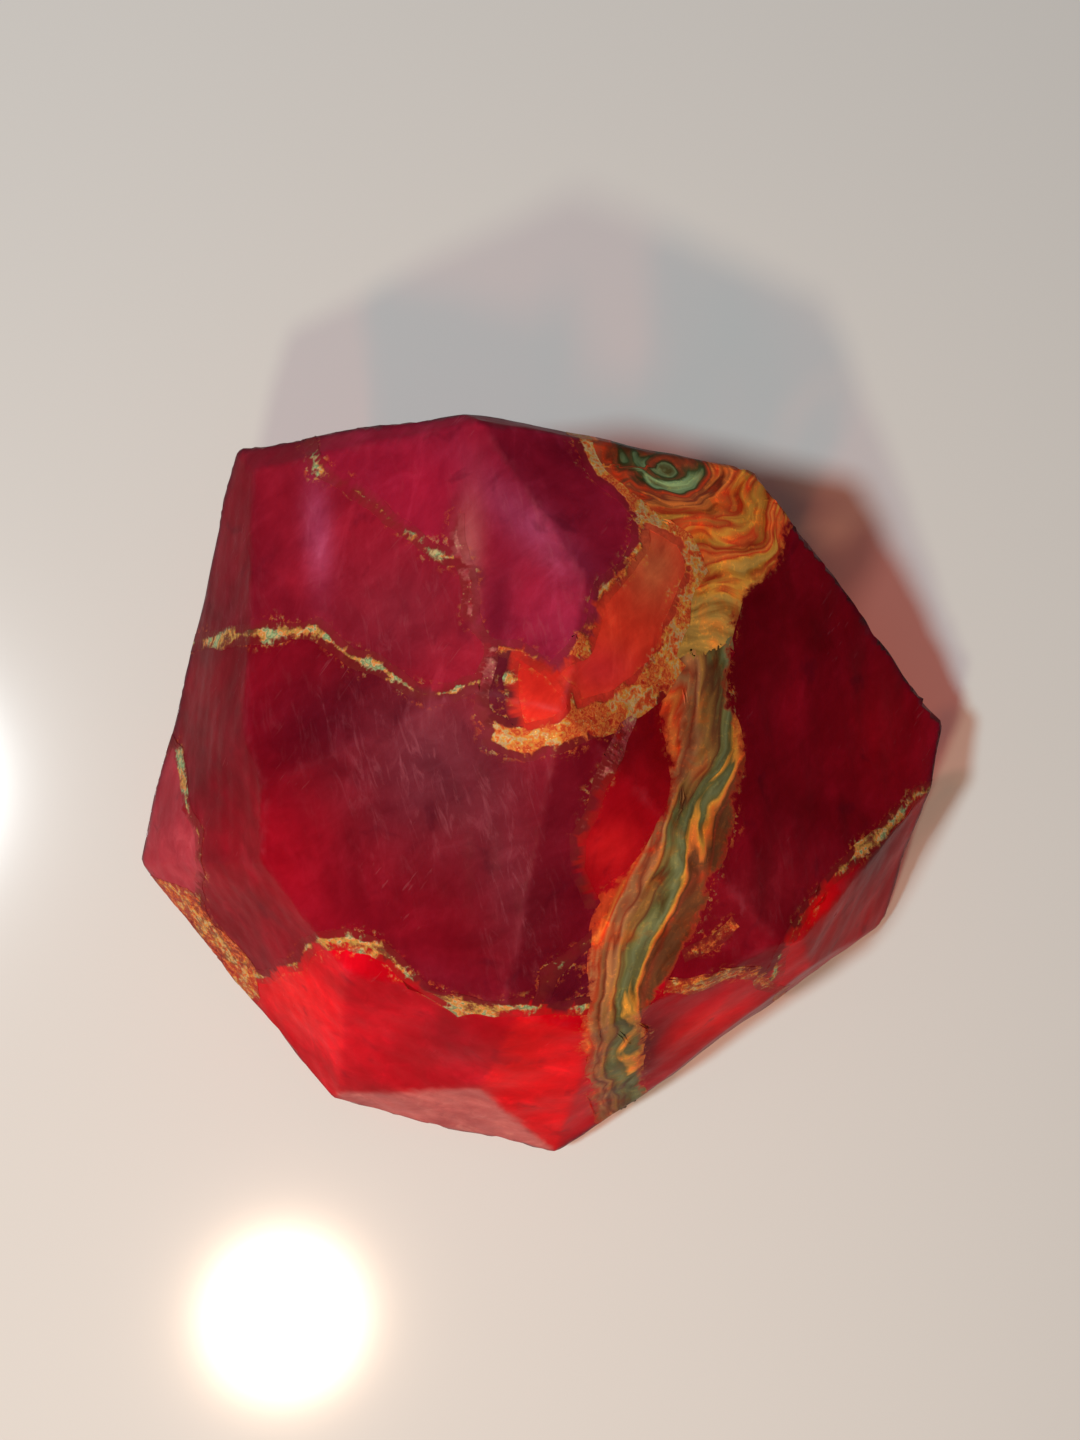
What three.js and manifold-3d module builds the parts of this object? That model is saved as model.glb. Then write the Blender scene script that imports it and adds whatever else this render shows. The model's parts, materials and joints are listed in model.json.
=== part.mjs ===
// A gem-shaped soap casting: chunks of red translucent soap bonded along thin mica veins, crossed by
// a marbled band of coloured layers, and cut by hand into facets. Millimetres, +Z up. The origin is
// the middle of the block's footprint, on the surface that it rests on.
import * as THREE from "three";
import { ConvexGeometry } from "three/addons/geometries/ConvexGeometry.js";
import { mergeVertices } from "three/addons/utils/BufferGeometryUtils.js";
import Module from "manifold-3d";

const wasm = await Module();
wasm.setup();

// ---------------------------------------------------------------- driving dimensions
const length = 88.4; // overall, along X
const width = 78.4; // overall, along Y
const height = 44; // overall, along Z
const jointGap = 0.3; // clearance between neighbouring pieces

// Every vein and layer is a sheet that runs down through the block. It leans with depth and waves.
const leanX = 5; // how far a sheet has moved along X when it reaches the base
const leanY = -3; // the same along Y
const waveHeight = 0.7; // how far a sheet waves to either side
const wavePitch = 26; // depth of one whole wave
const waveDrift = 9; // distance across the block over which the wave shifts by one radian

const thickness = {
  vein_lobe: 1.2,
  mica_apex: 2.6,
  vein_ridge: 0.9,
  vein_left: 1.3,
  vein_upper_left: 0.8,
  vein_lens: 0.8,
  vein_lens_rim: 0.6,
  vein_flame: 0.9,
  vein_heart: 0.6,
  vein_lower_left: 1.1,
  vein_branch: 0.7,
  vein_west: 0.8,
  vein_east_edge: 0.8,
  vein_south_east: 1,
  vein_spur: 0.7,
};
const beadSwell = 0.25; // share by which a vein swells and thins along its run
const beadPitch = 7; // length of one swelling

// How finely the sheets are drawn
const pointSpacing = 3.4; // along a route
const depthSteps = 4; // from top to base
const overrun = 2; // how far a sheet runs past the block before it is trimmed

// ---------------------------------------------------------------- the faceted block
const blankTop = 1.3; // how tall the uncut blank is, as a share of the height
const blockMiddle = [0, 0, 0.4]; // a point deep inside the block, in the same shares as the corners

// Corners as shares of half the length, half the width, and the height.
const corners = {
  north_west: [-0.7, 0.96, 0.48],
  north: [-0.12, 1, 0.77],
  north_east: [0.5, 0.87, 0.66],
  east: [1, 0.23, 0.27],
  east_low: [0.95, 0.03, 0.3],
  south_east: [0.89, -0.35, 0.03],
  south_east_mid: [0.74, -0.45, 0.11],
  south_east_low: [0.31, -0.78, 0.18],
  south: [0.05, -1, 0.09],
  south_mid: [-0.24, -0.94, 0.1],
  south_west: [-0.52, -0.84, 0.11],
  south_west_high: [-0.79, -0.47, 0.1],
  west: [-1, -0.17, 0.11],
  west_mid: [-0.93, 0.07, 0.23],
  west_high: [-0.8, 0.57, 0.36],

  apex: [0.06, 0.26, 1],
  shoulder: [0.15, 0.55, 0.96],
  ridge_top: [-0.12, 0.97, 0.86],
  ridge_mid: [-0.14, 0.31, 0.95],
  ridge_foot: [-0.06, -0.44, 0.76],
  crown_north_west: [-0.65, 0.89, 0.58],
  crown_west: [-0.58, 0.29, 0.8],
  crown_west_low: [-0.62, -0.12, 0.67],
  crown_south_west: [-0.53, -0.37, 0.64],
  crown_south: [-0.15, -0.48, 0.7],
  crown_middle: [0.39, -0.34, 0.66],
  crown_south_east: [0.57, -0.46, 0.52],
  lip_west: [-0.48, -0.81, 0.18],
  lip_south: [-0.13, -0.76, 0.4],
  lip_east: [0.12, -0.64, 0.55],
};

// The widest line of the block, corner by corner.
const girdle = [
  "north_west",
  "north",
  "north_east",
  "east",
  "east_low",
  "south_east",
  "south_east_mid",
  "south_east_low",
  "south",
  "south_mid",
  "south_west",
  "south_west_high",
  "west",
  "west_mid",
  "west_high",
];

// Outline of the flat base, as shares of half the length and half the width.
const baseOutline = [
  [-0.88, -0.13],
  [-0.76, -0.42],
  [-0.48, -0.77],
  [0.05, -0.92],
  [0.32, -0.71],
  [0.86, -0.34],
  [0.86, 0.18],
  [0.41, 0.7],
  [-0.11, 0.8],
  [-0.63, 0.79],
  [-0.79, 0.38],
];

// Each facet is one straight cut through three corners.
const facets = [
  ["apex", "crown_west", "ridge_foot"],
  ["apex", "ridge_foot", "crown_middle"],
  ["apex", "north_east", "east"],
  ["ridge_mid", "crown_north_west", "ridge_top"],
  ["ridge_mid", "apex", "ridge_top"],
  ["shoulder", "ridge_top", "north_east"],
  ["east_low", "crown_south_east", "south_east"],
  ["crown_south_east", "south_east", "south_east_low"],
  ["lip_east", "south_east_low", "south"],
  ["lip_south", "lip_east", "south"],
  ["lip_west", "lip_south", "south"],
  ["crown_south_west", "crown_south", "lip_west"],
  ["crown_south_west", "south_west_high", "south_west"],
  ["crown_west_low", "south_west_high", "west"],
  ["crown_west_low", "crown_west", "west"],
  ["crown_west", "crown_north_west", "west_high"],
  ["crown_north_west", "ridge_top", "north_west"],
  ["ridge_top", "north_east", "north"],
];

function cornerPoint([u, v, w]) {
  return new THREE.Vector3((u * length) / 2, (v * width) / 2, w * height);
}

// A closed three.js geometry as a solid that can be cut and joined.
function solidOf(geometry) {
  const bare = geometry.index ? geometry.toNonIndexed() : geometry.clone();
  bare.deleteAttribute("normal");
  bare.deleteAttribute("uv");
  const merged = mergeVertices(bare, 1e-4);
  return new wasm.Manifold(
    new wasm.Mesh({
      numProp: 3,
      vertProperties: merged.attributes.position.array,
      triVerts: new Uint32Array(merged.index.array),
    }),
  );
}

// The straight-sided blank, before its crown is cut: the girdle raised above the final height.
function makeBlank() {
  const points = baseOutline.map(([u, v]) => cornerPoint([u, v, 0]));
  for (const name of girdle) {
    const point = cornerPoint(corners[name]);
    points.push(point, new THREE.Vector3(point.x, point.y, blankTop * height));
  }
  return solidOf(new ConvexGeometry(points));
}

// Everything on the far side of a facet's plane, as a box that reaches well past the blank.
function offcut(names) {
  const [a, b, c] = names.map((name) => cornerPoint(corners[name]));
  const normal = b.clone().sub(a).cross(c.clone().sub(a)).normalize();
  if (normal.dot(cornerPoint(blockMiddle).sub(a)) > 0) normal.negate();
  const size = 4 * (length + width + height);
  const box = new THREE.BoxGeometry(size, size, size);
  box.translate(0, 0, size / 2);
  const up = new THREE.Vector3(0, 0, 1);
  box.applyQuaternion(new THREE.Quaternion().setFromUnitVectors(up, normal));
  box.translate(a.x, a.y, a.z);
  return solidOf(box);
}

function makeBlock() {
  return facets.reduce((block, names) => block.subtract(offcut(names)), makeBlank());
}

// ---------------------------------------------------------------- routes on the top surface
// Where the sheets meet the cut surface, as shares of half the length and half the width.
const routes = {
  lobe: [
    [-0.05, 1.25],
    [0.07, 0.98],
    [0.15, 0.84],
    [0.25, 0.75],
    [0.34, 0.69],
    [0.32, 0.58],
    [0.27, 0.41],
  ],
  apex: [
    [-0.09, 0.23],
    [0.02, 0.19],
    [0.13, 0.25],
    [0.23, 0.34],
    [0.28, 0.41],
  ],
  // The band's layer boundaries, from its inner edge to its outer edge
  band0: [
    [0.27, 0.37],
    [0.25, 0.3],
    [0.27, 0.2],
    [0.26, 0.07],
    [0.18, -0.09],
    [0.09, -0.2],
    [0.08, -0.37],
    [0.07, -0.57],
    [0.05, -0.68],
    [0.12, -1.1],
  ],
  band1: [
    [0.3, 0.38],
    [0.31, 0.27],
    [0.29, 0.11],
    [0.24, -0.06],
    [0.15, -0.21],
    [0.11, -0.39],
    [0.1, -0.58],
    [0.14, -1.1],
  ],
  band2: [
    [0.33, 0.44],
    [0.35, 0.3],
    [0.34, 0.1],
    [0.28, -0.1],
    [0.19, -0.28],
    [0.14, -0.45],
    [0.12, -0.62],
    [0.16, -1.1],
  ],
  band3: [
    [0.37, 0.46],
    [0.39, 0.3],
    [0.38, 0.09],
    [0.33, -0.12],
    [0.24, -0.31],
    [0.17, -0.46],
    [0.15, -0.65],
    [0.18, -1.1],
  ],
  band4: [
    [0.4, 0.48],
    [0.41, 0.33],
    [0.42, 0.13],
    [0.37, -0.09],
    [0.29, -0.35],
    [0.21, -0.49],
    [0.18, -0.68],
    [0.2, -1.1],
  ],
  northOutside: [
    [0.02, 1.3],
    [0.4, 1.3],
    [0.75, 1.15],
  ],
  lobeGreen: [
    [0.02, 1.2],
    [0.12, 1.06],
    [0.22, 0.92],
    [0.35, 0.85],
    [0.49, 0.83],
    [0.68, 0.9],
  ],
  lobeCore: [
    [0.66, 1.05],
    [0.52, 0.83],
    [0.49, 0.7],
    [0.39, 0.57],
    [0.35, 0.42],
  ],
  lobeRim: [
    [0.72, 1.0],
    [0.55, 0.79],
    [0.52, 0.67],
    [0.43, 0.56],
    [0.39, 0.42],
  ],
  ridge: [
    [-0.17, 0.74],
    [-0.16, 0.62],
    [-0.15, 0.51],
    [-0.1, 0.43],
    [-0.12, 0.33],
    [-0.1, 0.25],
    [-0.06, 0.22],
  ],
  left: [
    [-1.15, 0.56],
    [-0.87, 0.5],
    [-0.7, 0.49],
    [-0.52, 0.48],
    [-0.44, 0.42],
    [-0.35, 0.36],
    [-0.22, 0.31],
    [-0.12, 0.33],
  ],
  upperLeft: [
    [-0.74, 1.25],
    [-0.56, 1],
    [-0.51, 0.89],
    [-0.38, 0.79],
    [-0.28, 0.7],
    [-0.16, 0.64],
  ],
  lens: [
    [-0.1, 0.43],
    [-0.04, 0.41],
    [0.03, 0.36],
    [0.08, 0.28],
    [0.08, 0.22],
  ],
  lensRim: [
    [-0.05, 0.42],
    [-0.06, 0.35],
    [-0.04, 0.26],
    [-0.02, 0.21],
  ],
  flame: [
    [0.22, 0.77],
    [0.2, 0.64],
    [0.13, 0.54],
    [0.1, 0.43],
    [0.03, 0.36],
  ],
  heart: [
    [0.22, 0.33],
    [0.16, 0.18],
    [0.12, 0.07],
    [0.07, -0.06],
    [0.09, -0.19],
  ],
  lowerLeft: [
    [-0.82, -0.41],
    [-0.74, -0.42],
    [-0.63, -0.36],
    [-0.54, -0.3],
    [-0.45, -0.29],
    [-0.34, -0.37],
    [-0.2, -0.47],
    [-0.03, -0.46],
    [0.09, -0.46],
  ],
  branch: [
    [-0.02, -0.46],
    [0, -0.37],
    [0.04, -0.32],
    [0.1, -0.25],
  ],
  west: [
    [-1.2, 0.33],
    [-1.02, 0.28],
    [-0.95, 0.2],
    [-0.91, 0.06],
    [-0.85, -0.06],
    [-0.9, -0.16],
    [-0.98, -0.22],
  ],
  westMica: [
    [-1.25, -0.1],
    [-1.07, -0.13],
    [-0.94, -0.18],
    [-0.9, -0.27],
    [-0.79, -0.41],
    [-0.86, -0.62],
  ],
  westOutside: [
    [-1.4, -0.16],
    [-1.2, -0.5],
    [-0.98, -0.8],
  ],
  eastEdge: [
    [1.12, 0.18],
    [0.88, 0.1],
    [0.81, 0.05],
    [0.7, -0.08],
    [0.57, -0.23],
    [0.5, -0.43],
  ],
  southEast: [
    [0.26, -0.42],
    [0.34, -0.41],
    [0.43, -0.38],
    [0.51, -0.45],
    [0.64, -0.72],
  ],
  spur: [
    [0.31, -0.33],
    [0.36, -0.3],
    [0.41, -0.25],
  ],
};

function curveOf(route) {
  const points = routes[route].map(([u, v]) => new THREE.Vector2((u * length) / 2, (v * width) / 2));
  return new THREE.SplineCurve(points);
}

function spacedPoints(curve) {
  return curve.getSpacedPoints(Math.ceil(curve.getLength() / pointSpacing));
}

// ---------------------------------------------------------------- sheets
// Moves a point of an upright sheet to where the leaning, waving sheet has it.
function bend(x, y, z) {
  const depth = 1 - z / height;
  const turn = (2 * Math.PI * z) / wavePitch;
  return [
    x + leanX * depth + waveHeight * Math.sin(turn + y / waveDrift),
    y + leanY * depth + waveHeight * Math.cos(turn + x / waveDrift),
  ];
}

// A sheet of the given plan outline, right through the block.
function sheetSolid(outline) {
  const depth = height + 2 * overrun;
  const geometry = new THREE.ExtrudeGeometry(new THREE.Shape(outline), {
    depth,
    steps: depthSteps,
    bevelEnabled: false,
  });
  geometry.translate(0, 0, -overrun);
  const position = geometry.attributes.position;
  for (let i = 0; i < position.count; i++) {
    const z = position.getZ(i);
    position.setXY(i, ...bend(position.getX(i), position.getY(i), z));
  }
  return solidOf(geometry);
}

function leftNormal(tangent) {
  return new THREE.Vector2(-tangent.y, tangent.x).normalize();
}

// Plan outline of a vein of the given thickness along a route, grown all round by a margin.
function veinOutline(route, veinThickness, margin) {
  const curve = curveOf(route);
  const points = spacedPoints(curve);
  const step = curve.getLength() / (points.length - 1);
  const left = [];
  const right = [];
  points.forEach((point, i) => {
    const before = points[Math.max(i - 1, 0)];
    const after = points[Math.min(i + 1, points.length - 1)];
    const tangent = after.clone().sub(before).normalize();
    const bead = 1 + beadSwell * Math.sin((2 * Math.PI * i * step) / beadPitch);
    const side = leftNormal(tangent).multiplyScalar((veinThickness / 2) * bead + margin);
    const end = i === 0 ? -margin : i === points.length - 1 ? margin : 0;
    const middle = point.clone().addScaledVector(tangent, end);
    left.push(middle.clone().add(side));
    right.unshift(middle.clone().sub(side));
  });
  return left.concat(right);
}

// Plan outline of the area between two routes, moved outwards all round by a margin.
function areaOutline(firstRoute, lastRoute, margin) {
  const outline = spacedPoints(curveOf(firstRoute)).concat(spacedPoints(curveOf(lastRoute)).reverse());
  const outward = THREE.ShapeUtils.isClockWise(outline) ? margin : -margin;
  return outline.map((point, i) => {
    const before = outline[(i + outline.length - 1) % outline.length];
    const after = outline[(i + 1) % outline.length];
    return point.clone().addScaledVector(leftNormal(after.clone().sub(before)), outward);
  });
}

// ---------------------------------------------------------------- materials
const materials = {
  crimson: new THREE.MeshStandardMaterial({ color: 0x821423, roughness: 0.3, metalness: 0 }),
  scarlet: new THREE.MeshStandardMaterial({ color: 0xc8101c, roughness: 0.3, metalness: 0 }),
  darkRed: new THREE.MeshStandardMaterial({ color: 0x5a0610, roughness: 0.28, metalness: 0 }),
  flame: new THREE.MeshStandardMaterial({ color: 0xd23a22, roughness: 0.32, metalness: 0 }),
  mica: new THREE.MeshStandardMaterial({ color: 0xb58a3c, roughness: 0.45, metalness: 0.4 }),
  orange: new THREE.MeshStandardMaterial({ color: 0xc85a28, roughness: 0.4, metalness: 0 }),
  umber: new THREE.MeshStandardMaterial({ color: 0x8c5a2c, roughness: 0.42, metalness: 0.1 }),
  green: new THREE.MeshStandardMaterial({ color: 0x5f6b3c, roughness: 0.42, metalness: 0.1 }),
  rust: new THREE.MeshStandardMaterial({ color: 0x7a3a24, roughness: 0.42, metalness: 0.1 }),
};

// ---------------------------------------------------------------- assembly
const part = new THREE.Group();

function addMesh(name, solid, material) {
  const { vertProperties, numProp, triVerts } = solid.getMesh();
  const positions = [];
  for (const vertex of triVerts) {
    const start = vertex * numProp;
    positions.push(...vertProperties.subarray(start, start + 3));
  }
  const geometry = new THREE.BufferGeometry();
  geometry.setAttribute("position", new THREE.Float32BufferAttribute(positions, 3));
  geometry.computeVertexNormals();
  const mesh = new THREE.Mesh(geometry, material);
  mesh.name = name;
  part.add(mesh);
}

function vein(name, route, material = materials.mica) {
  const outline = (margin) => veinOutline(route, thickness[name], margin);
  return { name, material, body: outline(0), room: outline(jointGap) };
}

function layer(name, firstRoute, lastRoute, material) {
  const outline = (margin) => areaOutline(firstRoute, lastRoute, margin);
  return { name, material, body: outline(-jointGap / 2), room: outline(jointGap / 2) };
}

// Veins and layers in the order in which they take their room: a later one stops at an earlier one.
const inlays = [
  vein("vein_lobe", "lobe"),
  vein("mica_apex", "apex"),
  layer("band_orange_layer", "band0", "band1", materials.orange),
  layer("band_umber_layer", "band0", "band2", materials.umber),
  layer("band_green_layer", "band0", "band3", materials.green),
  layer("band_rust_layer", "band0", "band4", materials.rust),
  layer("lobe_green_lens", "northOutside", "lobeGreen", materials.green),
  layer("lobe_orange_core", "lobe", "lobeCore", materials.orange),
  layer("lobe_gold_rim", "lobe", "lobeRim", materials.mica),
  vein("vein_ridge", "ridge"),
  vein("vein_left", "left"),
  vein("vein_upper_left", "upperLeft"),
  vein("vein_lens", "lens"),
  vein("vein_lens_rim", "lensRim"),
  vein("vein_flame", "flame"),
  vein("vein_heart", "heart"),
  layer("mica_west", "westMica", "westOutside", materials.mica),
  vein("vein_lower_left", "lowerLeft"),
  vein("vein_branch", "branch"),
  vein("vein_west", "west"),
  vein("vein_south_east", "southEast"),
  vein("vein_east_edge", "eastEdge"),
  vein("vein_spur", "spur"),
];

// The soap chunks, each with a point inside it, as shares of half the length and half the width.
const chunks = [
  ["chunk_north_west", [-0.42, 0.62], materials.crimson],
  ["chunk_north", [0.02, 0.75], materials.crimson],
  ["chunk_main", [-0.3, -0.05], materials.crimson],
  ["chunk_crescent", [-0.08, 0.31], materials.darkRed],
  ["chunk_orange_lens", [0.02, 0.29], materials.flame],
  ["chunk_flame", [0.22, 0.5], materials.flame],
  ["chunk_heart", [0.18, 0.07], materials.scarlet],
  ["chunk_east", [0.65, 0.25], materials.darkRed],
  ["chunk_east_edge", [0.76, -0.2], materials.scarlet],
  ["chunk_south_east", [0.34, -0.55], materials.scarlet],
  ["chunk_south_west", [-0.3, -0.62], materials.scarlet],
  ["chunk_triangle", [0.03, -0.4], materials.crimson],
  ["chunk_west_chip", [-0.95, 0.04], materials.scarlet],
];

let rest = makeBlock();
for (const inlay of inlays) {
  addMesh(inlay.name, rest.intersect(sheetSolid(inlay.body)), inlay.material);
  rest = rest.subtract(sheetSolid(inlay.room));
}

// What is left between the veins and layers falls apart into the chunks.
const probeSize = 1;
const pieces = rest.decompose();
for (const [name, [u, v], material] of chunks) {
  const x = (u * length) / 2;
  const y = (v * width) / 2;
  const probe = sheetSolid([
    new THREE.Vector2(x - probeSize, y - probeSize),
    new THREE.Vector2(x + probeSize, y - probeSize),
    new THREE.Vector2(x + probeSize, y + probeSize),
    new THREE.Vector2(x - probeSize, y + probeSize),
  ]);
  const shared = pieces.map((piece) => piece.intersect(probe).volume());
  addMesh(name, pieces[shared.indexOf(Math.max(...shared))], material);
}

export default part;
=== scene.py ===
"""Looks of the gem-shaped soap casting: each chunk, vein and layer of the frame becomes a finely
meshed piece with soft knife-cut edges, and gets a procedural soap, mica or marbled material."""
import json
import math

import bmesh
import bpy
import numpy as np
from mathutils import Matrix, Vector, geometry, kdtree


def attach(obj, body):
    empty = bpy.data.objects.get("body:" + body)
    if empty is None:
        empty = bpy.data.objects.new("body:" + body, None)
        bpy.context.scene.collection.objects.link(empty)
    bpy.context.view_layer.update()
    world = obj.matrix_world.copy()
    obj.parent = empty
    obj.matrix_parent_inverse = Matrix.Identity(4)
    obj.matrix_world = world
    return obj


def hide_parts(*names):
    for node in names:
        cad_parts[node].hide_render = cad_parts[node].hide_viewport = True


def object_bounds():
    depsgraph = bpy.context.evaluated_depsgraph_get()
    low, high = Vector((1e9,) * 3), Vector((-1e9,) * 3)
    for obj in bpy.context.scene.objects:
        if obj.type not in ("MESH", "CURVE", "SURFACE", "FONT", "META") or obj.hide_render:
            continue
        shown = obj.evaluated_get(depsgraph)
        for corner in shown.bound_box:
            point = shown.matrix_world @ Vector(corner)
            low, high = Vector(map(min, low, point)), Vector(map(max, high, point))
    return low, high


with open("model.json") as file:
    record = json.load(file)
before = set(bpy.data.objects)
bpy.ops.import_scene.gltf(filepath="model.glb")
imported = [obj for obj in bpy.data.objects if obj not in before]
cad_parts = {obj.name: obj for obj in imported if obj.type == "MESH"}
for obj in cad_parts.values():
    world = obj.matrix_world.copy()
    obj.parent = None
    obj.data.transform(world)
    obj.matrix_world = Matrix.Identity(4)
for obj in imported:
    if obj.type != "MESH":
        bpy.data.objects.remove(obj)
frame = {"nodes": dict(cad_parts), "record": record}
cad_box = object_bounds()

MM = 0.001
low, high = (np.array(corner) / MM for corner in cad_box)
half = (high - low)[:2] / 2          # half the length and half the width, in millimetres
height = high[2]

# ---------------------------------------------------------------- sizes, in millimetres
JOINT = 0.3              # clearance between neighbouring frame pieces, closed here
STAY = 0.01              # pull of a corner's own place, where a large wall's pull is 1
KEEP_FACET = 50          # pull of the facets that a corner lies on, in the same measure
EDGE_SHARPNESS = 14      # per millimetre: how tightly the knife-cut edges are rounded
EDGE_CONTRAST = 9        # how quickly two facets at an angle count as an edge
FACET_SHARPNESS = 30     # the same, for the painted light and shade of single facets
OUTLINE_SHADE_SHARPNESS = 5    # the same, for the painted dark line of shade along the outline
UNDERCUT = 0.05          # facets whose normals rise less than this count as undercut
FULLNESS = 0.2           # makes up for what the rounding takes off the corners
FLAT_FADE = 3            # height above the base over which the hand-cut waviness sets in
LEAN = np.array([5, -3])  # how far the sheets have moved when they reach the base
FACET_AREA = 0.2         # square millimetres: smaller triangles don't show where a facet lies
SAME_WAY = 0.9999        # cosine between two triangles' normals that lie on the same facet
SAME_DEPTH = 0.08        # and how far apart their planes may be
ON_PLANE = 0.02          # how close a corner lies to the facet that it belongs to
TURNED_AWAY = 0.9        # cosine below which a triangle can't lie on a facet
CLEAR_AREA = 0.01        # square millimetres: below this a triangle's direction isn't trusted
SLIVER_DEPTH = 0.12      # how far under the surface a sliver of a facet's rim may dip
SLIVER_WAY = 0.5         # cosine above which such a sliver faces along its facet
SLIVER_AREA = 1e-4       # square millimetres: smaller slivers are left to the walls
BASE_SPACING = 1.2       # mesh spacing on the underside
RIM_CLEARANCE = 0.55     # how far inner mesh points keep from an outline, as a share of the spacing

# For each kind of piece: mesh spacing, how far it laps over its neighbours, how proud it stands
MESHES = {
    "chunk": (0.6, 0.0, 0.0),
    "layer": (0.42, 0.14, 0.012),
    "vein": (0.28, 0.24, 0.03),
}

# Sums of plane waves, (wavelength, height), for the cut surface and for the wandering seams.
SURFACE_WAVES = ((17, 0.1), (7, 0.04), (2.6, 0.012))
SEAM_WAVES = ((9, 0.26), (4.2, 0.1), (1.9, 0.03))
WAVES_EACH = 9
UNFOLDING_STEPS = 6
UNFOLDING_SHARE = 0.6    # how much of the way to its neighbours' middle a folded point moves
FOLDED = 0.3             # cosine below which a triangle counts as folded over
BOW = 2e-4               # per millimetre: how much the outlines are bowed while they are filled


# ---------------------------------------------------------------- smooth random fields
class Field:
    """A smooth random function of position: plane waves of several lengths and heights."""

    def __init__(self, layers, seed):
        rng = np.random.default_rng(seed)
        self.parts = []
        for wavelength, amount in layers:
            direction = rng.normal(size=(WAVES_EACH, 3))
            direction /= np.linalg.norm(direction, axis=1)[:, None]
            stretch = rng.uniform(0.75, 1.3, WAVES_EACH)[:, None]
            phase = rng.uniform(0, 2 * math.pi, WAVES_EACH)
            waves = direction * stretch * 2 * math.pi / wavelength
            self.parts.append((waves, phase, amount * math.sqrt(2 / WAVES_EACH)))

    def value(self, p):
        return sum(a * np.sin(p @ k.T + phase).sum(1) for k, phase, a in self.parts)

    def slope(self, p):
        return sum(a * np.cos(p @ k.T + phase) @ k for k, phase, a in self.parts)


surface_field = Field(SURFACE_WAVES, 1)
seam_fields = [Field(SEAM_WAVES, seed) for seed in (2, 3, 4)]


def wander(p):
    """How far the seams wander at each place, the same for every piece."""
    return np.stack([field.value(p) for field in seam_fields], axis=1)


def smooth_step(x):
    x = np.clip(x, 0, 1)
    return x * x * (3 - 2 * x)


# ---------------------------------------------------------------- the cut block
def corners_and_faces(node):
    """A frame node's corners in millimetres, merged where they coincide, and its triangles."""
    bm = bmesh.new()
    bm.from_mesh(node.data)
    bmesh.ops.remove_doubles(bm, verts=bm.verts, dist=2e-6)
    bmesh.ops.triangulate(bm, faces=bm.faces)
    bm.verts.index_update()
    points = np.array([v.co for v in bm.verts]) / MM
    faces = np.array([[v.index for v in f.verts] for f in bm.faces])
    bm.free()
    return points, faces


def planes_of(points, faces):
    """Each triangle's normal, its plane's distance from the origin, and its area."""
    a, b, c = (points[faces[:, i]] for i in range(3))
    cross = np.cross(b - a, c - a)
    area = np.linalg.norm(cross, axis=1)
    normal = cross / np.maximum(area, 1e-12)[:, None]
    return normal, (normal * a).sum(1), area / 2


def facet_planes(shapes):
    """The planes that the whole block lies behind, each once."""
    everything = np.concatenate([points for points, _ in shapes.values()])
    candidates = []
    for points, faces in shapes.values():
        for n, h, area in zip(*planes_of(points, faces)):
            if area > FACET_AREA:
                candidates.append((area, n, h))
    candidates.sort(key=lambda item: -item[0])
    found = []
    for _, n, h in candidates:
        if any(n @ m > SAME_WAY and abs(h - g) < SAME_DEPTH for m, g in found):
            continue
        if (everything @ n).max() - h < ON_PLANE:
            found.append((n, h))
    return np.array([n for n, _ in found]), np.array([h for _, h in found])


slots = {part["node"]: part["material_slot"] for part in frame["record"]["subparts"]}
shapes = {name: corners_and_faces(node) for name, node in frame["nodes"].items()}
plane_normals, plane_offsets = facet_planes(shapes)
base_plane = int(np.argmin(plane_normals[:, 2]))


def cut_surface(p):
    """How far each place is outside the soft-edged cut surface, the way out, and how near an edge."""
    d = (p @ plane_normals.T - plane_offsets) * EDGE_SHARPNESS
    top = d.max(1, keepdims=True)
    weight = np.exp(d - top)
    total = weight.sum(1, keepdims=True)
    outside = (np.log(total) + top)[:, 0] / EDGE_SHARPNESS
    slope = (weight / total) @ plane_normals
    edge = np.clip((1 - np.linalg.norm(slope, axis=1)) * EDGE_CONTRAST, 0, 1)
    fade = smooth_step(p[:, 2] / FLAT_FADE)
    outside = outside - fade * (surface_field.value(p) + FULLNESS)
    slope = slope - fade[:, None] * surface_field.slope(p)
    return outside, slope / np.linalg.norm(slope, axis=1)[:, None], edge


def facet_share(p, azimuth, elevation):
    """How much each place belongs to the facet that faces the given way, in degrees."""
    turn, tilt = math.radians(azimuth), math.radians(elevation)
    way = (math.cos(turn) * math.cos(tilt), math.sin(turn) * math.cos(tilt), math.sin(tilt))
    d = (p @ plane_normals.T - plane_offsets) * FACET_SHARPNESS
    weight = np.exp(d - d.max(1, keepdims=True))
    return weight[:, (plane_normals @ way).argmax()] / weight.sum(1)


def outline_shade_share(p):
    """1 on the knife-thin outline where the facets turn from upward to undercut, 0 away from it; the soap
    is painted dark there as shade.
    """
    d = (p @ plane_normals.T - plane_offsets) * OUTLINE_SHADE_SHARPNESS
    weight = np.exp(d - d.max(1, keepdims=True))
    under = weight[:, plane_normals[:, 2] < UNDERCUT].sum(1) / weight.sum(1)
    return 4 * under * (1 - under)


def onto_surface(p, proud):
    """Moves the places onto the cut surface: where they land, the way out, how near an edge."""
    for _ in range(5):
        outside, way, _ = cut_surface(p)
        p = p - way * (outside - proud)[:, None]
    _, way, edge = cut_surface(p)
    return p, way, edge


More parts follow.
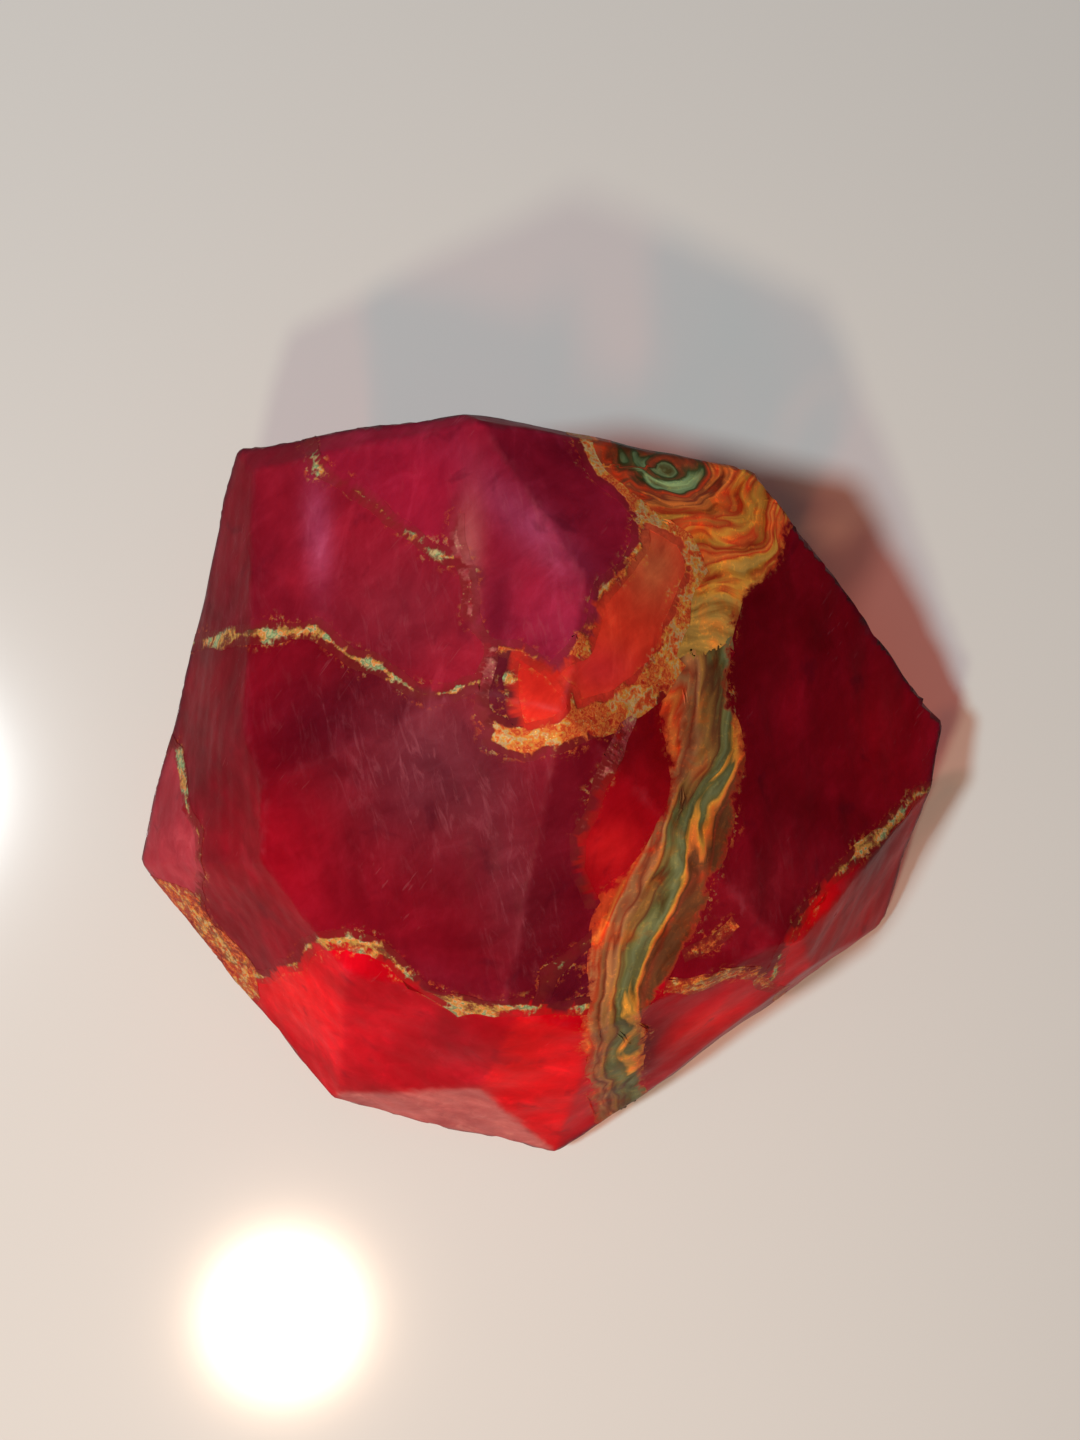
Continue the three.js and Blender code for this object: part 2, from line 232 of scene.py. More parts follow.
# ---------------------------------------------------------------- one piece's mesh
def facet_of_faces(points, faces):
    """Which facet each triangle lies on, or -1 for a wall between two pieces."""
    distance = np.abs(points @ plane_normals.T - plane_offsets)
    worst = np.maximum.reduce([distance[faces[:, i]] for i in range(3)])
    normal, _, area = planes_of(points, faces)
    turned = normal @ plane_normals.T < TURNED_AWAY
    worst[turned & (area > CLEAR_AREA)[:, None]] = math.inf
    best = worst.argmin(1)
    facets = np.where(worst[np.arange(len(faces)), best] < ON_PLANE, best, -1)
    depth = points[faces].mean(1) @ plane_normals.T - plane_offsets
    nearest = depth.argmax(1)
    facing = (normal * plane_normals[nearest]).sum(1)
    sliver = (facets < 0) & (depth.max(1) > -SLIVER_DEPTH)
    sliver &= (facing > SLIVER_WAY) & (area > SLIVER_AREA)
    return np.where(sliver, nearest, facets)


def inside_outline(spots, starts, ends):
    """Even-odd test of flat points against an outline's edges."""
    x, y = spots[:, :1], spots[:, 1:]
    crosses = (starts[:, 1] > y) != (ends[:, 1] > y)
    rise = np.where(ends[:, 1] == starts[:, 1], 1, ends[:, 1] - starts[:, 1])
    at = starts[:, 0] + (y - starts[:, 1]) * (ends[:, 0] - starts[:, 0]) / rise
    return (crosses & (x < at)).sum(1) % 2 == 1


def clear_of_outline(spots, starts, ends, gap):
    """Which flat points keep the gap from an outline's edges."""
    keep = np.ones(len(spots), bool)
    for a, b in zip(starts, ends):
        along = b - a
        share = np.clip(((spots - a) @ along) / max(along @ along, 1e-12), 0, 1)
        keep &= np.linalg.norm(spots - a - share[:, None] * along, axis=1) > gap
    return keep


def hex_grid(lowest, highest, spacing):
    """Evenly spaced flat points, every other row set off by half a step."""
    rows = np.arange(lowest[1], highest[1], spacing * math.sqrt(0.75))
    columns = np.arange(lowest[0], highest[0], spacing)
    return np.array([(x + i % 2 * spacing / 2, y)
                     for i, y in enumerate(rows) for x in columns]).reshape(-1, 2)


def bowed_inward(rim, chains, starts, ends):
    """Bows each straight run of the outline in by a hair, so that no triangle lies along it."""
    bowed = rim.copy()
    for chain in chains:
        run = rim[chain[-1]] - rim[chain[0]]
        length = np.linalg.norm(run)
        if len(chain) < 3 or length < 1e-6:
            continue
        inward = np.array([-run[1], run[0]]) / length
        middle = (rim[chain[0]] + rim[chain[-1]]) / 2
        if not inside_outline((middle + inward * 0.01)[None], starts, ends)[0]:
            inward = -inward
        t = np.linalg.norm(rim[chain] - rim[chain[0]], axis=1)[:, None]
        bowed[chain] += inward * BOW * t * (length - t)
    return bowed


def fill_region(points, chains, plane, spacing):
    """Covers one facet's share of a piece with an even triangle mesh inside its outline."""
    chain_edges = [edge for chain in chains for edge in zip(chain, chain[1:])]
    normal = plane_normals[plane]
    side = np.array(Vector(normal).orthogonal().normalized())
    axes = np.array([side, np.cross(normal, side)])
    used = sorted({i for edge in chain_edges for i in edge})
    local = {i: n for n, i in enumerate(used)}
    rim = np.array([points[i] for i in used]) @ axes.T
    pairs = np.array([[local[a], local[b]] for a, b in chain_edges])
    starts, ends = rim[pairs[:, 0]], rim[pairs[:, 1]]
    rim = bowed_inward(rim, [[local[i] for i in chain] for chain in chains], starts, ends)
    starts, ends = rim[pairs[:, 0]], rim[pairs[:, 1]]
    grid = hex_grid(rim.min(0), rim.max(0), spacing)
    if len(grid):
        grid = grid[inside_outline(grid, starts, ends)]
        grid = grid[clear_of_outline(grid, starts, ends, spacing * RIM_CLEARANCE)]
    flat = [Vector(p) for p in rim] + [Vector(p) for p in grid]
    spots, _, triangles, sources, _, _ = geometry.delaunay_2d_cdt(
        flat, pairs.tolist(), [], 0, 1e-7, True)
    spots = np.array([spot[:] for spot in spots])
    triangles = np.array(triangles)
    a, b, c = (spots[triangles[:, i]] for i in range(3))
    turn = (b - a)[:, 0] * (c - a)[:, 1] - (b - a)[:, 1] * (c - a)[:, 0]
    triangles[turn < 0] = triangles[turn < 0][:, ::-1]
    triangles = triangles[(np.abs(turn) > 1e-7) & inside_outline((a + b + c) / 3, starts, ends)]
    made = []
    for spot, source in zip(spots, sources):
        known = [s for s in source if s < len(used)]
        if not known:
            points.append(spot @ axes + plane_offsets[plane] * normal)
        made.append(used[known[0]] if known else len(points) - 1)
    return [[made[i] for i in triangle] for triangle in triangles]


def grown_walls(points, faces, facets, reach):
    """How far each corner moves to close the joints: out from the walls, along the facets."""
    normal, _, area = planes_of(points, faces)
    system = np.zeros((len(points), 3, 3)) + np.eye(3) * STAY
    target = np.zeros((len(points), 3))
    wall = facets < 0
    weight = np.minimum(area[wall], 1)[:, None]
    n = normal[wall]
    m = plane_normals[facets[~wall]]
    for corner in range(3):
        at = faces[:, corner]
        np.add.at(system, at[wall], weight[:, :, None] * n[:, :, None] * n[:, None, :])
        np.add.at(target, at[wall], weight * n * reach)
        np.add.at(system, at[~wall], KEEP_FACET * m[:, :, None] * m[:, None, :])
    move = np.linalg.solve(system, target[:, :, None])[:, :, 0]
    size = np.linalg.norm(move, axis=1)[:, None]
    return move * np.minimum(1, 2 * reach / np.maximum(size, 1e-9))


def unfold(points, normals, edge, faces, inner, proud):
    """Eases apart the triangles that were folded over where they crossed a rounded edge."""
    free = np.zeros(len(points), bool)
    free[inner] = True
    for _ in range(UNFOLDING_STEPS):
        normal, _, _ = planes_of(points, faces)
        folded = faces[(normal * normals[faces[:, 0]]).sum(1) < FOLDED]
        near = np.isin(faces, folded).any(1)
        at = np.unique(faces[near])
        at = at[free[at]]
        if not len(at):
            return
        total = np.zeros_like(points)
        count = np.zeros(len(points))
        for a, b in ((0, 1), (1, 2), (2, 0), (1, 0), (2, 1), (0, 2)):
            np.add.at(total, faces[:, a], points[faces[:, b]])
            np.add.at(count, faces[:, a], 1)
        middle = total[at] / count[at][:, None]
        points[at] = points[at] * (1 - UNFOLDING_SHARE) + middle * UNFOLDING_SHARE
        points[at], normals[at], edge[at] = onto_surface(points[at], proud)


def build_mesh(name, kind):
    """A fine copy of a frame node: points, surface faces, wall faces, normals, edges and seam."""
    spacing, lap, proud = MESHES[kind]
    corners, triangles = shapes[name]
    facets = facet_of_faces(corners, triangles)
    move = grown_walls(corners, triangles, facets, JOINT / 2 + lap)
    points = list(corners)
    moves = list(move)

    # Each edge is divided once, so that the surfaces and walls beside it share its points
    sides = {}
    for triangle, facet in zip(triangles, facets):
        for a, b in zip(triangle, np.roll(triangle, -1)):
            sides.setdefault((min(a, b), max(a, b)), []).append(facet)
    chains = {}
    outlines = {}
    seam = set()
    for (a, b), beside in sides.items():
        edge_facets = {f for f in beside if f >= 0 and beside.count(f) == 1}
        if not edge_facets:
            continue
        step = BASE_SPACING if edge_facets == {base_plane} else spacing
        count = max(1, math.ceil(np.linalg.norm(corners[a] - corners[b]) / step))
        chain = [a]
        for share in np.arange(1, count) / count:
            chain.append(len(points))
            points.append(corners[a] * (1 - share) + corners[b] * share)
            moves.append(move[a] * (1 - share) + move[b] * share)
        chain.append(b)
        chains[a, b] = chain
        for facet in edge_facets:
            outlines.setdefault(facet, []).append(chain)
        if -1 in beside:
            seam.update(chain)

    surface = []
    for facet, around in outlines.items():
        step = max(spacing, BASE_SPACING) if facet == base_plane else spacing
        surface += fill_region(points, around, facet, step)
    moves += [np.zeros(3)] * (len(points) - len(moves))

    # A wall with divided edges becomes a fan of triangles around its middle
    walls = []
    for triangle in triangles[facets < 0]:
        loop = []
        for a, b in zip(triangle, np.roll(triangle, -1)):
            chain = chains.get((min(a, b), max(a, b)), [min(a, b), max(a, b)])
            loop += chain[:-1] if chain[0] == a else chain[:0:-1]
        if len(loop) == 3:
            walls.append(loop)
            continue
        points.append(np.mean([points[i] for i in loop], axis=0))
        moves.append(np.mean([moves[i] for i in loop], axis=0))
        walls += [[a, b, len(points) - 1] for a, b in zip(loop, loop[1:] + loop[:1])]

    moved = np.array(points) + np.array(moves)
    moved += wander(moved)
    on_surface = np.unique(np.concatenate([np.array(surface).ravel(), sorted(seam)]).astype(int))
    normals = np.zeros_like(moved)
    edge = np.zeros(len(moved))
    moved[on_surface], normals[on_surface], edge[on_surface] = onto_surface(moved[on_surface], proud)
    inner = np.setdiff1d(on_surface, sorted(seam))
    unfold(moved, normals, edge, np.array(surface), inner, proud)
    moved[:, 2] = np.maximum(moved[:, 2], 0)
    return moved, surface, walls, normals, edge, np.array(sorted(seam))


# ---------------------------------------------------------------- colours inside the soap
# Linear colours of each chunk; partly painted light and shade, brighter where the soap is thin along the
# south and east edges and darker in the thick middle
CRIMSON = (0.19, 0.003, 0.010)
ROSE = (0.27, 0.008, 0.026)
GARNET = (0.20, 0.0025, 0.009)
SCARLET = (0.52, 0.0015, 0.008)
FLAME = (0.72, 0.04, 0.018)
CHUNK_COLOURS = {
    "chunk_north_west": (0.25, 0.007, 0.019),
    "chunk_north": ROSE,
    "chunk_main": CRIMSON,
    "chunk_crescent": (0.10, 0.006, 0.013),
    "chunk_orange_lens": (0.62, 0.02, 0.012),
    "chunk_flame": FLAME,
    "chunk_heart": (0.27, 0.002, 0.006),
    "chunk_east": GARNET,
    "chunk_east_edge": (0.56, 0.002, 0.008),
    "chunk_south_east": (0.40, 0.002, 0.009),
    "chunk_south_west": SCARLET,
    "chunk_triangle": (0.13, 0.005, 0.014),
    "chunk_west_chip": (0.38, 0.026, 0.04),
}
# Milky haze of scuffed soap, partly a painted glare of the near lamp
HAZE_AND_GLARE = (0.15, 0.024, 0.037)
ORCHID = (0.33, 0.05, 0.12)
# Painted light coming through the soap where it is thin
GLOW = (0.78, 0.004, 0.006)
# Painted shade of thick soap
SHADE = (0.055, 0.0025, 0.009)

# Clouds in the soap: chunk, middle and reach as shares of half the length and half the width,
# turn in degrees, colour, strength, and how much of it is brushed haze. Many are painted light
# and shade: the GLOW clouds and other bright red ones near thin edges are painted light coming
# through the soap, the SHADE clouds and other dark ones are painted shade of thick soap, and the
# haze clouds are partly painted lamp glare.
CLOUDS = [
    ("chunk_main", (-0.22, 0.14), (0.20, 0.22), 20, HAZE_AND_GLARE, 0.85, 1.0),
    ("chunk_main", (-0.05, -0.15), (0.09, 0.24), 8, HAZE_AND_GLARE, 0.5, 0.8),
    ("chunk_main", (-0.62, -0.1), (0.16, 0.2), 0, (0.26, 0.002, 0.008), 0.7, 0.0),
    ("chunk_main", (-0.48, 0.24), (0.14, 0.12), 10, SHADE, 0.5, 0.4),
    ("chunk_main", (0.05, -0.02), (0.06, 0.2), 8, (0.16, 0.007, 0.016), 0.7, 0.0),
    ("chunk_main", (-0.2, -0.42), (0.3, 0.06), -6, (0.13, 0.004, 0.012), 0.6, 0.1),
    ("chunk_north_west", (-0.49, 0.72), (0.035, 0.16), 4, ORCHID, 0.5, 0.7),
    ("chunk_north_west", (-0.3, 0.5), (0.16, 0.14), 0, HAZE_AND_GLARE, 0.35, 0.6),
    ("chunk_north_west", (-0.72, 0.55), (0.12, 0.2), 0, (0.15, 0.006, 0.016), 0.6, 0.3),
    ("chunk_north", (-0.02, 0.72), (0.05, 0.2), 42, ORCHID, 0.55, 0.5),
    ("chunk_north", (-0.15, 0.62), (0.03, 0.16), -4, (0.55, 0.16, 0.15), 0.5, 0.5),
    ("chunk_north", (-0.24, 0.84), (0.12, 0.08), 0, (0.33, 0.008, 0.03), 0.7, 0.2),
    ("chunk_north", (0.06, 0.45), (0.1, 0.12), 0, (0.36, 0.02, 0.06), 0.6, 0.5),
    ("chunk_north", (-0.08, 0.5), (0.04, 0.14), -5, SHADE, 0.6, 0.0),
    ("chunk_flame", (0.26, 0.62), (0.07, 0.1), 0, (0.50, 0.12, 0.045), 0.8, 0.0),
    ("chunk_flame", (0.14, 0.36), (0.08, 0.06), 0, (0.62, 0.02, 0.03), 0.7, 0.0),
    ("chunk_heart", (0.2, 0.2), (0.05, 0.1), 0, (0.17, 0.003, 0.007), 0.7, 0.0),
    ("chunk_heart", (0.16, -0.08), (0.07, 0.07), 0, (0.55, 0.01, 0.012), 0.7, 0.0),
    ("chunk_east", (0.84, 0.2), (0.1, 0.16), 0, (0.32, 0.003, 0.010), 0.9, 0.1),
    ("chunk_east", (0.5, -0.22), (0.2, 0.12), 25, (0.21, 0.006, 0.013), 0.9, 0.4),
    ("chunk_east", (0.47, 0.52), (0.08, 0.1), 0, (0.12, 0.001, 0.005), 0.8, 0.0),
    ("chunk_east_edge", (0.80, -0.1), (0.1, 0.14), 20, (0.22, 0.005, 0.012), 0.9, 0.1),
    ("chunk_east_edge", (0.64, -0.26), (0.1, 0.09), 30, GLOW, 0.7, 0.0),
    ("chunk_south_east", (0.40, -0.60), (0.14, 0.06), 32, GLOW, 0.85, 0.0),
    ("chunk_south_east", (0.26, -0.66), (0.05, 0.12), 0, (0.10, 0.003, 0.008), 0.85, 0.0),
    ("chunk_south_west", (-0.6, -0.5), (0.14, 0.12), -40, GLOW, 0.8, 0.0),
    ("chunk_south_west", (-0.02, -0.62), (0.08, 0.14), 0, GLOW, 0.8, 0.0),
    ("chunk_south_west", (-0.2, -0.6), (0.08, 0.13), 20, (0.40, 0.007, 0.02), 0.75, 0.2),
]

# Painted light and shade of single facets, each tinted for how it catches the light; the first,
# pale pink one is a painted reflection of the table: chunk, the facet's azimuth and elevation in
# degrees, colour, strength
FACET_LIGHT_AND_SHADE = [
    ("chunk_south_west", -103, 29, (0.56, 0.13, 0.12), 0.85),
    ("chunk_south_west", -89, 35, (0.70, 0.003, 0.006), 0.7),
    ("chunk_south_west", -111, 37, (0.40, 0.003, 0.010), 0.6),
    ("chunk_south_east", -54, 13, (0.26, 0.004, 0.012), 0.5),
    ("chunk_east_edge", -54, 13, (0.34, 0.004, 0.012), 0.5),
    ("chunk_main", -55, 62, (0.14, 0.004, 0.012), 0.5),
    ("chunk_main", -141, 30, (0.24, 0.003, 0.009), 0.5),
    ("chunk_main", 174, 29, (0.17, 0.002, 0.008), 0.8),
    ("chunk_north_west", 174, 29, (0.19, 0.003, 0.010), 0.7),
]


def soap_colour(name, p):
    """Colour, with its painted light and shade, and brushed haze at each place of a chunk."""
    colour = np.tile(np.array(CHUNK_COLOURS[name]), (len(p), 1))
    brushed = np.zeros(len(p))
    plan = p[:, :2] / half
    for chunk, middle, reach, turn, tint, strength, haze in CLOUDS:
        if chunk != name:
            continue
        c, s = math.cos(math.radians(turn)), math.sin(math.radians(turn))
        away = (plan - np.array(middle)) @ np.array([[c, -s], [s, c]])
        cloud = np.exp(-((away / np.array(reach)) ** 2).sum(1))[:, None]
        colour += (np.array(tint) - colour) * cloud * strength
        brushed = np.maximum(brushed, cloud[:, 0] * haze)
    # Painted light and shade of single facets
    for chunk, azimuth, elevation, tint, strength in FACET_LIGHT_AND_SHADE:
        if chunk == name:
            share = facet_share(p, azimuth, elevation)[:, None]
            colour += (np.array(tint) - colour) * share * strength
    return colour, brushed


# ---------------------------------------------------------------- the band's own directions
# Middle line of the marbled band, as shares of half the length and half the width
BAND_LINE = [(0.52, 1.1), (0.42, 0.72), (0.36, 0.45), (0.35, 0.2), (0.29, -0.05), (0.2, -0.27),
             (0.13, -0.5), (0.13, -0.75), (0.14, -1.1)]


def along_and_across(p):
    """Distance along and across the band's middle line, followed down its lean."""
    depth = 1 - p[:, 2:] / height
    plan = p[:, :2] - LEAN * depth
    line = np.array(BAND_LINE) * half
    lengths = np.linalg.norm(np.diff(line, axis=0), axis=1)
    before = np.concatenate([[0], np.cumsum(lengths)])
    nearest = np.full(len(p), 1e9)
    along = np.zeros(len(p))
    across = np.zeros(len(p))
    for a, b, start, length in zip(line, line[1:], before, lengths):
        way = (b - a) / length
        share = np.clip((plan - a) @ way, 0, length)
        away = plan - a - share[:, None] * way
        distance = np.linalg.norm(away, axis=1)
        closer = distance < nearest
        nearest[closer] = distance[closer]
        along[closer] = (start + share)[closer]
        across[closer] = (away @ np.array([-way[1], way[0]]))[closer]
    return along, across


# The lobe's arcs run around this place, in the same shares; they are flatter than circles
LOBE_MIDDLE = (0.29, 0.87)
LOBE_FLATNESS = 1.25


def around_and_out(p):
    """Distance around and out from the lobe's middle."""
    plan = (p[:, :2] / half - LOBE_MIDDLE) * half * (1, LOBE_FLATNESS)
    out = np.linalg.norm(plan, axis=1)
    return np.arctan2(plan[:, 1], plan[:, 0]) * out, out


# ---------------------------------------------------------------- materials
class Nodes:
    """A material's node tree, written as nested calls."""

    def __init__(self, name):
        self.material = bpy.data.materials.new(name)
        self.material.use_nodes = True
        self.tree = self.material.node_tree
        self.tree.nodes.clear()
        self.place = self.node("ShaderNodeTexCoord").outputs["Object"]

    def node(self, kind, values=None, **settings):
        made = self.tree.nodes.new(kind)
        for key, value in settings.items():
            setattr(made, key, value)
        for key, value in (values or {}).items():
            self.feed(made.inputs[key], value)
        return made

    def feed(self, socket, value):
        if isinstance(value, bpy.types.NodeSocket):
            self.tree.links.new(value, socket)
        elif isinstance(value, tuple) and socket.type == "RGBA":
            socket.default_value = (*value, 1)
        else:
            socket.default_value = value

    def maths(self, operation, a, b=0.0, c=0.0, clamp=False):
        made = self.node("ShaderNodeMath", operation=operation, use_clamp=clamp)
        for socket, value in zip(made.inputs, (a, b, c)):
            self.feed(socket, value)
        return made.outputs[0]

    def attribute(self, name, output="Fac"):
        return self.node("ShaderNodeAttribute", attribute_name=name).outputs[output]

    def stretched(self, vector, turn, scale):
        """The vector turned about Z, then scaled, so that a pattern runs along one way."""
        turned = self.node("ShaderNodeMapping", {"Vector": vector, "Rotation": (0, 0, math.radians(turn))})
        return self.node("ShaderNodeMapping", {"Vector": turned.outputs[0], "Scale": scale}).outputs[0]

    def noise(self, vector, scale, detail=4.0, roughness=0.55, distortion=0.0, output="Fac"):
        return self.node("ShaderNodeTexNoise", {
            "Vector": vector, "Scale": scale, "Detail": detail, "Roughness": roughness,
            "Distortion": distortion}).outputs[output]

    def between(self, value, start, end, first=0.0, last=1.0):
        """first below start, last above end, and a smooth step between."""
        return self.node("ShaderNodeMapRange", {
            "Value": value, "From Min": start, "From Max": end, "To Min": first, "To Max": last},
            interpolation_type="SMOOTHSTEP").outputs[0]

    def mix(self, share, first, second, blend="MIX"):
        made = self.node("ShaderNodeMix", data_type="RGBA", blend_type=blend)
        self.feed(made.inputs[0], share)
        self.feed(made.inputs[6], first)
        self.feed(made.inputs[7], second)
        return made.outputs[2]

    def ramp(self, value, *stops):
        made = self.node("ShaderNodeValToRGB", {"Fac": value})
        ramp = made.color_ramp
        for i, (at, colour) in enumerate(stops):
            element = ramp.elements[i] if i < 2 else ramp.elements.new(at)
            element.position = at
            element.color = (*colour, 1)
        return made.outputs[0]

    def bump(self, height_value, distance, strength=1.0, normal=None):
        made = self.node("ShaderNodeBump", {"Height": height_value, "Distance": distance,
                                            "Strength": strength})
        if normal is not None:
            self.feed(made.inputs["Normal"], normal)
        return made.outputs[0]

    def finish(self, surface, clear):
        """Joins the surface to the output. Light from the lamps comes through in the soap's colour."""
        light = self.node("ShaderNodeLightPath").outputs["Is Shadow Ray"]
        through = self.node("ShaderNodeBsdfTransparent", {"Color": clear}).outputs[0]
        both = self.node("ShaderNodeMixShader")
        self.feed(both.inputs[0], light)
        self.feed(both.inputs[1], surface)
        self.feed(both.inputs[2], through)
        output = self.node("ShaderNodeOutputMaterial")
        self.feed(output.inputs["Surface"], both.outputs[0])
        return self.material


# Linear colours of the mica and of the marbled layers
CREAM = (0.52, 0.38, 0.17)
GOLD = (0.46, 0.25, 0.055)
OCHRE = (0.32, 0.15, 0.04)
OLIVE = (0.13, 0.12, 0.04)
MINT = (0.24, 0.36, 0.17)
TANGERINE = (0.66, 0.17, 0.035)
RUST = (0.22, 0.045, 0.02)
UMBER = (0.13, 0.045, 0.018)
SAGE = (0.17, 0.18, 0.08)
BLUSH = (0.45, 0.14, 0.11)
EMBER = (0.50, 0.05, 0.015)
MOSS = (0.045, 0.06, 0.022)
TAN = (0.36, 0.15, 0.06)
AMBER = (0.62, 0.27, 0.04)
BLOOD = (0.28, 0.008, 0.008)

# Colours of the grains, from the darkest clusters to the palest
COOL_MICA = [(0.42, UMBER), (0.47, RUST), (0.51, OCHRE), (0.545, GOLD), (0.575, TANGERINE),
             (0.60, CREAM), (0.64, SAGE), (0.67, MINT), (0.73, CREAM)]
WARM_MICA = [(0.40, BLOOD), (0.46, EMBER), (0.50, TANGERINE), (0.54, EMBER), (0.58, TANGERINE),
             (0.62, AMBER), (0.65, CREAM), (0.69, TANGERINE), (0.75, EMBER)]
PINK_MICA = [(0.42, BLOOD), (0.55, (0.34, 0.05, 0.06)), (0.68, BLUSH), (0.75, CREAM)]


def mica_colour(n, stops):
    """Grains in little clusters."""
    clusters = n.noise(n.place, 330, 3, 0.6, 0.4)
    grains = n.noise(n.place, 1300, 2, 0.7)
    both = n.maths("MULTIPLY_ADD", grains, 0.35, n.maths("MULTIPLY", clusters, 0.8))
    return n.ramp(both, *stops)


class SoapPattern:
    """Soap as it looks from outside: clouded inside, brushed and scratched by the knife, with painted
    highlights on its upward ridges and strokes and a painted dark line of shade along its outline.
    """

    def __init__(self, n):
        edge = n.attribute("edge")
        upward = n.node("ShaderNodeSeparateXYZ", {
            "Vector": n.node("ShaderNodeNewGeometry").outputs["Normal"]}).outputs["Z"]
        clouds = n.noise(n.place, 75, 5, 0.55, 0.6)
        colour = n.mix(1.0, n.attribute("soap", "Color"),
                       n.ramp(clouds, (0.25, (0.55, 0.45, 0.5)), (0.5, (0.95, 0.95, 0.95)),
                              (0.75, (1.45, 1.6, 1.5))), "MULTIPLY")
        wisps = n.noise(n.stretched(n.place, 12, (240, 90, 200)), 1, 5, 0.62, 1.2)
        colour = n.mix(n.between(wisps, 0.52, 0.8, 0, 0.7), colour, (1.4, 2.2, 1.9), "MULTIPLY")
        strokes = n.noise(n.stretched(n.place, -14, (1000, 210, 500)), 1, 5, 0.66, 0.9)
        fibres = n.noise(n.stretched(n.place, 50, (420, 190, 300)), 1, 6, 0.68, 0.6)
        colour = n.mix(1.0, colour, n.ramp(fibres, (0.3, (0.86, 0.75, 0.8)), (0.5, (0.99, 0.99, 0.99)),
                                           (0.7, (1.14, 1.35, 1.3))), "MULTIPLY")
        self.strokes = n.maths("MULTIPLY", n.between(strokes, 0.5, 0.8), n.attribute("brushed"))
        # Pale knife strokes where the soap is brushed; their paleness is partly painted glare on the
        # scratches
        colour = n.mix(n.maths("MULTIPLY", self.strokes, 0.5), colour, (0.42, 0.10, 0.13))
        dark_spots = n.between(n.noise(n.place, 260, 3, 0.5, 0.5), 0.6, 0.75, 0, 0.35)
        colour = n.mix(dark_spots, colour, (0.05, 0.002, 0.008))
        patches = n.between(n.noise(n.place, 110, 2, 0.5), 0.54, 0.68)
        scratches = n.noise(n.stretched(n.place, 38, (3000, 130, 900)), 1, 2, 0.5, 0.4)
        self.scratches = n.maths("MULTIPLY", n.between(scratches, 0.64, 0.74), patches)
        colour = n.mix(n.maths("MULTIPLY", self.scratches, 0.1), colour, (0.5, 0.16, 0.18))
        # Pale rubbed edges, partly a painted highlight: only the ridges that face upward get it
        worn_and_highlit = n.maths("MULTIPLY", n.maths("MULTIPLY", edge, n.between(upward, 0.35, 0.7)),
                       n.between(wisps, 0.4, 0.65, 0.02, 0.5))
        colour = n.mix(worn_and_highlit, colour, (0.34, 0.06, 0.085))
        # Painted shade: a dark line along the outline, where the facets turn under
        outline = n.maths("MULTIPLY", n.attribute("outline"), n.between(clouds, 0.3, 0.6, 0.5, 0.9))
        colour = n.mix(outline, colour, (0.045, 0.003, 0.014))
        self.colour = colour


def soap_material(name, clear, roughness):
    """Translucent soap, with a little mica dust near its seams."""
    n = Nodes(name)
    soap = SoapPattern(n)
    grains = n.between(n.noise(n.place, 1500, 3, 0.7), 0.5, 0.62)
    drifts = n.maths("MULTIPLY_ADD", n.noise(n.place, 150, 3, 0.6), 5, -2.1)
    near = n.between(n.maths("ADD", n.attribute("rim"), drifts), 0.0, 1.2, 0.5, 0)
    colour = n.mix(n.maths("MULTIPLY", grains, near), soap.colour, mica_colour(n, WARM_MICA))

    wax = n.noise(n.place, 520, 5, 0.6)
    rough = n.maths("MULTIPLY_ADD", wax, 0.2, roughness - 0.1)
    rough = n.maths("MULTIPLY_ADD", soap.scratches, 0.15, rough)
    rough = n.maths("MULTIPLY_ADD", soap.strokes, 0.12, rough)
    relief = n.bump(n.noise(n.place, 160, 3, 0.5), 0.0005, 0.25)
    relief = n.bump(n.maths("ADD", wax, n.maths("MULTIPLY", soap.strokes, 0.6)), 0.0001, 0.4, relief)
    relief = n.bump(soap.scratches, 0.00005, 0.5, relief)
    shader = n.node("ShaderNodeBsdfPrincipled", {
        "Base Color": colour, "Roughness": rough, "Normal": relief, "IOR": 1.08,
        "Subsurface Weight": 0.2, "Subsurface Radius": (1.0, 0.12, 0.1), "Subsurface Scale": 0.0008,
        "Specular IOR Level": 0.5})
    return n.finish(shader.outputs[0], clear)


